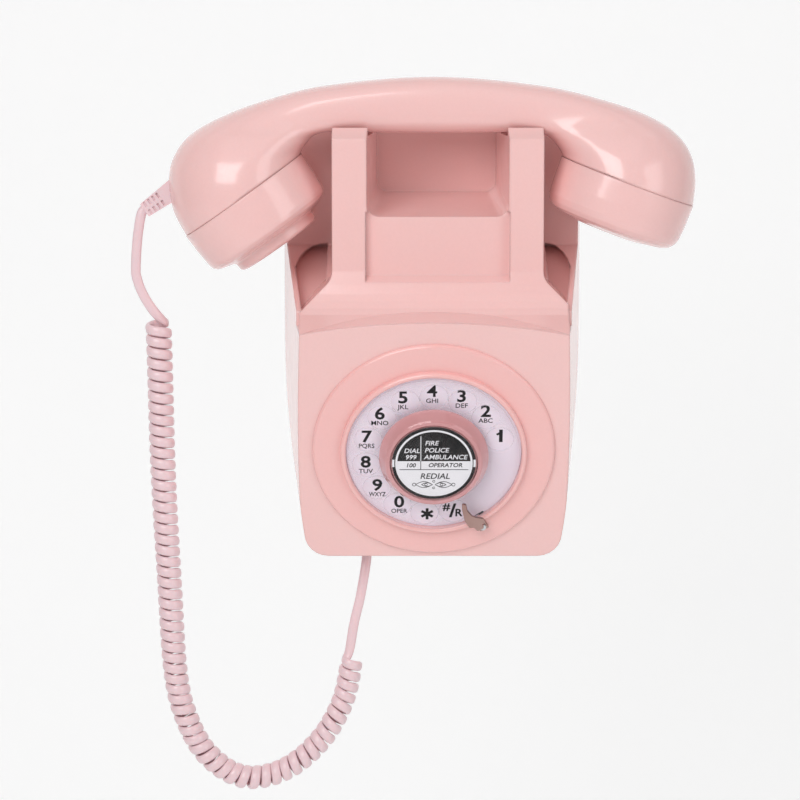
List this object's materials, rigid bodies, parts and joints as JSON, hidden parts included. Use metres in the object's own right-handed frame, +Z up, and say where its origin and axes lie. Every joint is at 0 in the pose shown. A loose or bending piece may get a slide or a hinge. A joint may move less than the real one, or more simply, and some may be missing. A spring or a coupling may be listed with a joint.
{
  "type": "wall telephone",
  "caption": "Pink wall telephone with a rotary style dial, clear finger wheel, lift-off handset and curly cord.",
  "frame": {"origin": "centre of the case's back, on the wall plane", "axes": "+X to the right as seen from the front, +Y into the wall, +Z up"},
  "size_m": [0.2507, 0.1066, 0.3265],
  "materials": {
    "pink_plastic": "glossy moulded plastic",
    "back_plastic": "satin moulded plastic",
    "cord_plastic": "soft glossy sleeve",
    "plate_print": "printed plate",
    "clear_acrylic": "clear moulded acrylic",
    "label_print": "printed card",
    "chrome": "polished",
    "zinc_steel": "plated",
    "brass": "machined",
    "dark_plastic": "satin",
    "board_green": "solder mask",
    "copper_wire": "varnished winding",
    "pale_plastic": "satin"
  },
  "bodies": {
    "base": {"back_plate": "back_plastic", "front_case": "pink_plastic", "case_screws": "zinc_steel", "dial_bezel": "pink_plastic", "number_plate": "plate_print", "finger_stop": "chrome", "stop_screws": "zinc_steel", "dial_frame": "zinc_steel", "frame_screws": "zinc_steel", "dial_bearing": "brass", "dial_rear_plate": "zinc_steel", "return_spring": "zinc_steel", "pulse_contacts": "dark_plastic", "governor_cup": "brass", "redial_switch": "dark_plastic", "circuit_board": "board_green", "board_components": "dark_plastic", "board_screws": "zinc_steel", "line_jack": "pale_plastic", "hook_switch": "dark_plastic", "bell_bracket": "zinc_steel", "bell_gong_left": "chrome", "bell_gong_right": "chrome", "gong_screws": "zinc_steel", "ringer_coil": "copper_wire", "ringer_core": "zinc_steel", "cord_grommet": "back_plastic", "volume_switch": "dark_plastic", "handset_lead": "cord_plastic", "curly_cord": "cord_plastic", "base_lead": "cord_plastic"},
    "dial": {"finger_wheel": "clear_acrylic", "wheel_hub": "pink_plastic", "dial_shaft": "zinc_steel", "main_gear": "brass", "pulse_cam": "pale_plastic", "shaft_clip": "zinc_steel"},
    "governor": {"governor_pinion": "zinc_steel", "governor_weights": "brass"},
    "redial": {"redial_button": "pink_plastic", "label_card": "label_print", "label_lens": "clear_acrylic"},
    "handset": {"handset_shell": "pink_plastic", "mouthpiece_cap": "pink_plastic", "earpiece_cap": "pink_plastic", "microphone_capsule": "zinc_steel", "receiver_capsule": "zinc_steel", "handset_weight": "zinc_steel", "cord_boot": "pink_plastic"},
    "hook": {"hook_plungers": "pink_plastic"},
    "hook_arm": {"hook_lever": "zinc_steel"},
    "clapper_arm": {"clapper": "zinc_steel"},
    "volume": {"volume_slider": "dark_plastic"}
  },
  "joints": [
    {"name": "dial_turn", "type": "hinge", "parent": "base", "child": "dial", "pos_m": [0, -0.08126, -0.04752], "axis": [0, 0.9243, 0.3818], "range_deg": [0, 330], "stiffness_Nm_per_rad": 0.004},
    {"name": "governor_turn", "type": "hinge", "parent": "base", "child": "governor", "pos_m": [0.01616, -0.07165, -0.02888], "axis": [0, 0.9243, 0.3818], "range_deg": [-1990, 0]},
    {"name": "redial_press", "type": "slide", "parent": "dial", "child": "redial", "axis": [0, 0.9243, 0.3818], "range_m": [0, 0.0015], "stiffness_N_per_m": 300},
    {"name": "handset_lift", "type": "slide", "parent": "base", "child": "handset", "axis": [0, 0, 1], "range_m": [0, 0.065]},
    {"name": "hook_rise", "type": "slide", "parent": "base", "child": "hook", "axis": [0, 0, 1], "range_m": [0, 0.0052]},
    {"name": "hook_arm_turn", "type": "hinge", "parent": "base", "child": "hook_arm", "pos_m": [0, -0.066, 0.0395], "axis": [1, 0, 0], "range_deg": [0, 21.5]},
    {"name": "clapper_swing", "type": "hinge", "parent": "base", "child": "clapper_arm", "pos_m": [0, -0.0165, -0.031], "axis": [0, 1, 0], "range_deg": [-1.4, 1.4], "stiffness_Nm_per_rad": 0.01},
    {"name": "volume_slide", "type": "slide", "parent": "base", "child": "volume", "axis": [1, 0, 0], "range_m": [0, 0.008]}
  ],
  "couplings": [
    {"joint": "governor_turn", "follows": "dial_turn", "ratio": -6},
    {"joint": "hook_rise", "follows": "handset_lift", "ratio": 0.076923},
    {"joint": "hook_arm_turn", "follows": "handset_lift", "rad_per_m": 5.6388}
  ]
}
